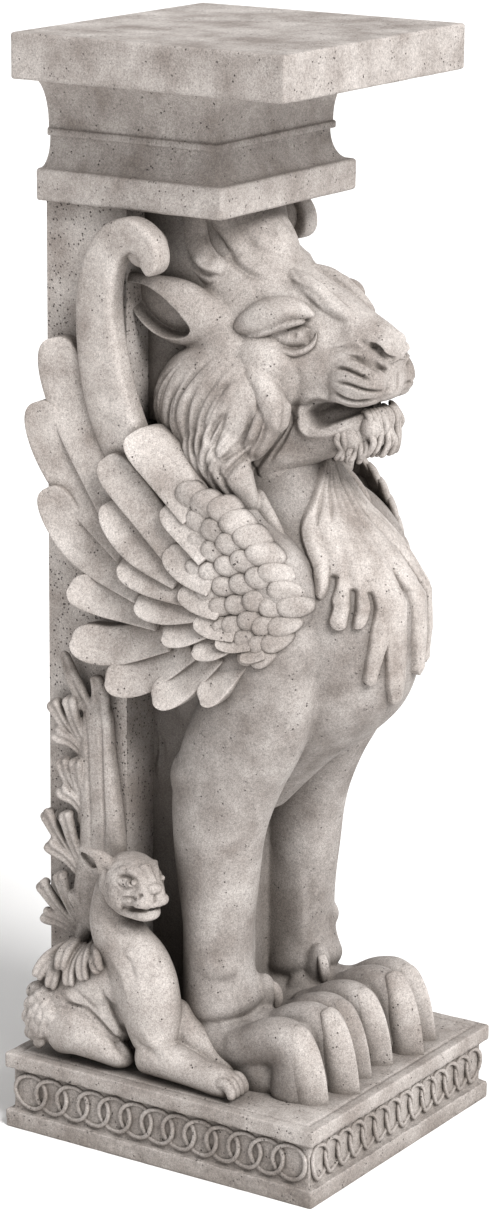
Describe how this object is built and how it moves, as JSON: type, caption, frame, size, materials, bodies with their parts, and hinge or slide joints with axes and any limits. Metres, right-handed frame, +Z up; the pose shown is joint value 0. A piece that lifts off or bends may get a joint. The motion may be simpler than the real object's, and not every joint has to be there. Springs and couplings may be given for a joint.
{
  "type": "winged lion pedestal",
  "caption": "Tall cast-stone pedestal: a seated winged lion with long claws carries a moulded capital and square slab on a plinth with a linked-ring frieze.",
  "frame": {"origin": "middle of the plinth's underside", "axes": "+Z up, the lion faces -Y, +X is the lion's left-hand flank"},
  "size_m": [0.267, 0.2972, 0.86],
  "materials": {
    "cast_stone": "matte off-white cast stone with a warm grey wash left in the recesses"
  },
  "bodies": {
    "root": {"winged_lion_pedestal": "cast_stone"}
  },
  "joints": []
}
